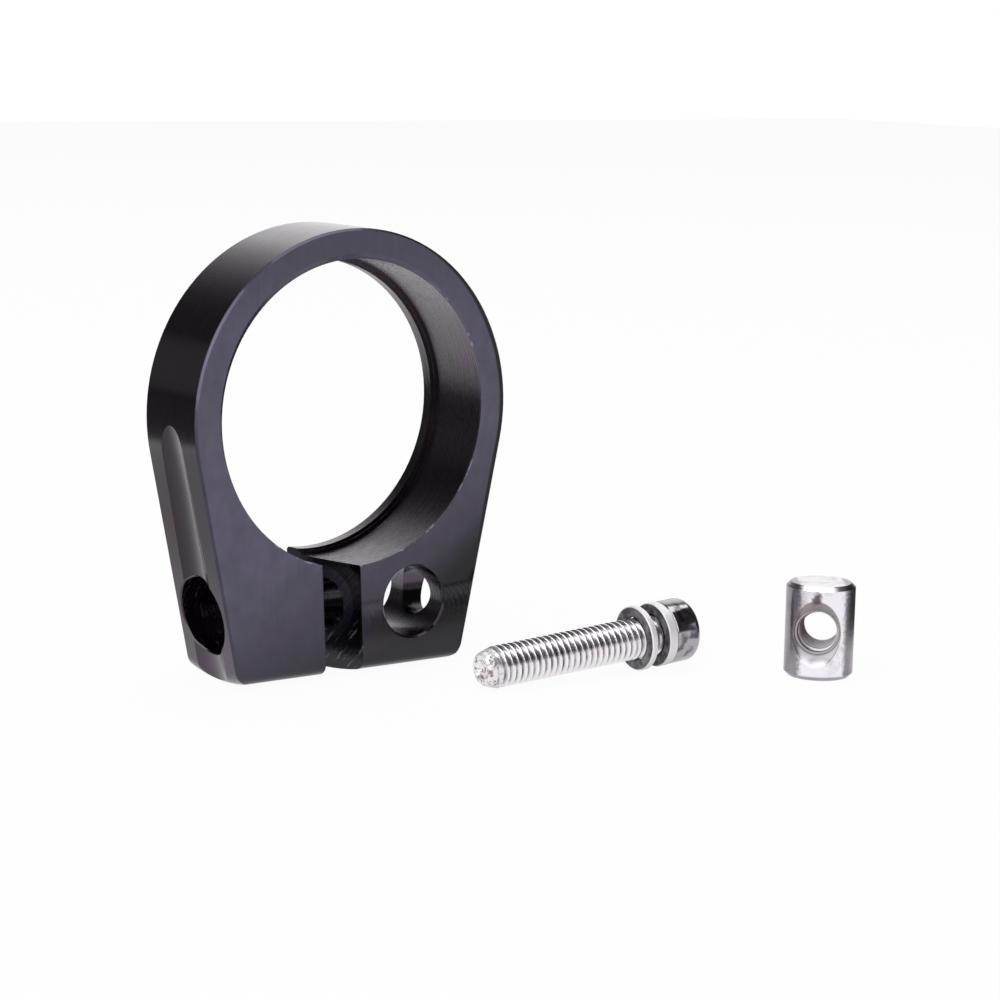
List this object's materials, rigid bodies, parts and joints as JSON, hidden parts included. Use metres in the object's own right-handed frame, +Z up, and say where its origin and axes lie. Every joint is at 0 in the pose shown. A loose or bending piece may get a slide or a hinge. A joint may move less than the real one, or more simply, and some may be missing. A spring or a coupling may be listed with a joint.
{
  "type": "seatpost clamp",
  "caption": "Split ring clamp with a stepped lip in its bore, laid out beside its socket head screw with loose washers and its cross-drilled barrel nut.",
  "frame": {"origin": "centre of the post bore, on its axis and halfway between the collar's two faces", "axes": "+Y along the post bore from the open front face to the lipped rear face, +X across from the screw head's ear to the nut's ear, +Z up, away from the ears"},
  "size_m": [0.0714, 0.0424, 0.051],
  "materials": {
    "anodised_collar": "black anodised, satin",
    "plated_steel": "bright nickel plated",
    "turned_steel": "turned, bright"
  },
  "bodies": {
    "clamp": {"collar": "anodised_collar", "screw": "plated_steel", "barrel_nut": "turned_steel"},
    "lock_washer": {"lock_washer": "plated_steel"},
    "flat_washer": {"flat_washer": "plated_steel"}
  },
  "joints": [
    {"name": "lock_washer_turn", "type": "hinge", "parent": "clamp", "child": "lock_washer", "pos_m": [0.02813, -0.01996, -0.02649], "axis": [0.9967, -0.0479, 0.0661], "continuous": true},
    {"name": "flat_washer_turn", "type": "hinge", "parent": "clamp", "child": "flat_washer", "pos_m": [0.02813, -0.01996, -0.02649], "axis": [0.9967, -0.0479, 0.0661], "continuous": true}
  ]
}
